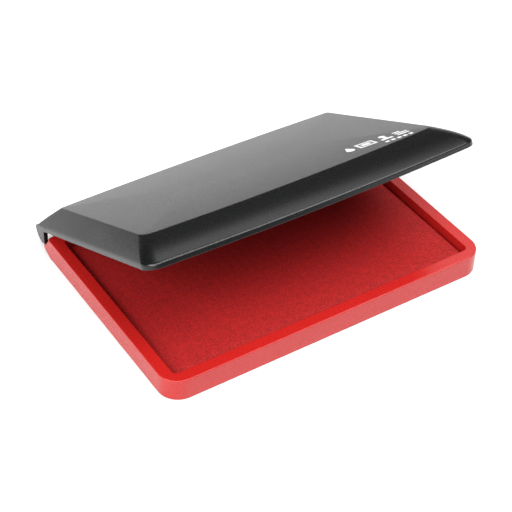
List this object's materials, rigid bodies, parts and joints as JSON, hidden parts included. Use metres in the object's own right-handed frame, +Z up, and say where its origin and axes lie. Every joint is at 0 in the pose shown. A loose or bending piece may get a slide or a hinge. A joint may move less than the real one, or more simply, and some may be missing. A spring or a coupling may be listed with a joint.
{
  "type": "ink pad",
  "caption": "Hinged stamp ink pad: moulded tray with a cloth-covered felt pad and a bevelled lid that swings open on short pins at the rear corners.",
  "frame": {"origin": "centre of the tray's flat underside, not counting the foot rail behind it", "axes": "+X along the hinge to the right, -Y the front where the lid opens, +Z up"},
  "size_m": [0.124, 0.0923, 0.0499],
  "materials": {
    "tray_plastic": "satin moulded, solid red",
    "board": "dense grey pasteboard",
    "reservoir_felt": "needled felt soaked in red ink",
    "wick_felt": "fine felt soaked in red ink",
    "inked_cloth": "plain-woven cotton, damp with red ink",
    "lid_plastic": "fine spark-eroded grain, dark grey",
    "pin_plastic": "smooth dark moulding"
  },
  "bodies": {
    "base": {"base_tray": "tray_plastic", "pad_board": "board", "reservoir_felt": "reservoir_felt", "wick_felt": "wick_felt", "pad_cloth": "inked_cloth"},
    "lid": {"lid_shell": "lid_plastic", "hinge_pin_left": "pin_plastic", "hinge_pin_right": "pin_plastic"}
  },
  "joints": [
    {"name": "lid_hinge", "type": "hinge", "parent": "base", "child": "lid", "pos_m": [0, 0.046, 0.0079], "axis": [-1, 0, 0], "range_deg": [-26.5, 153.5]}
  ]
}
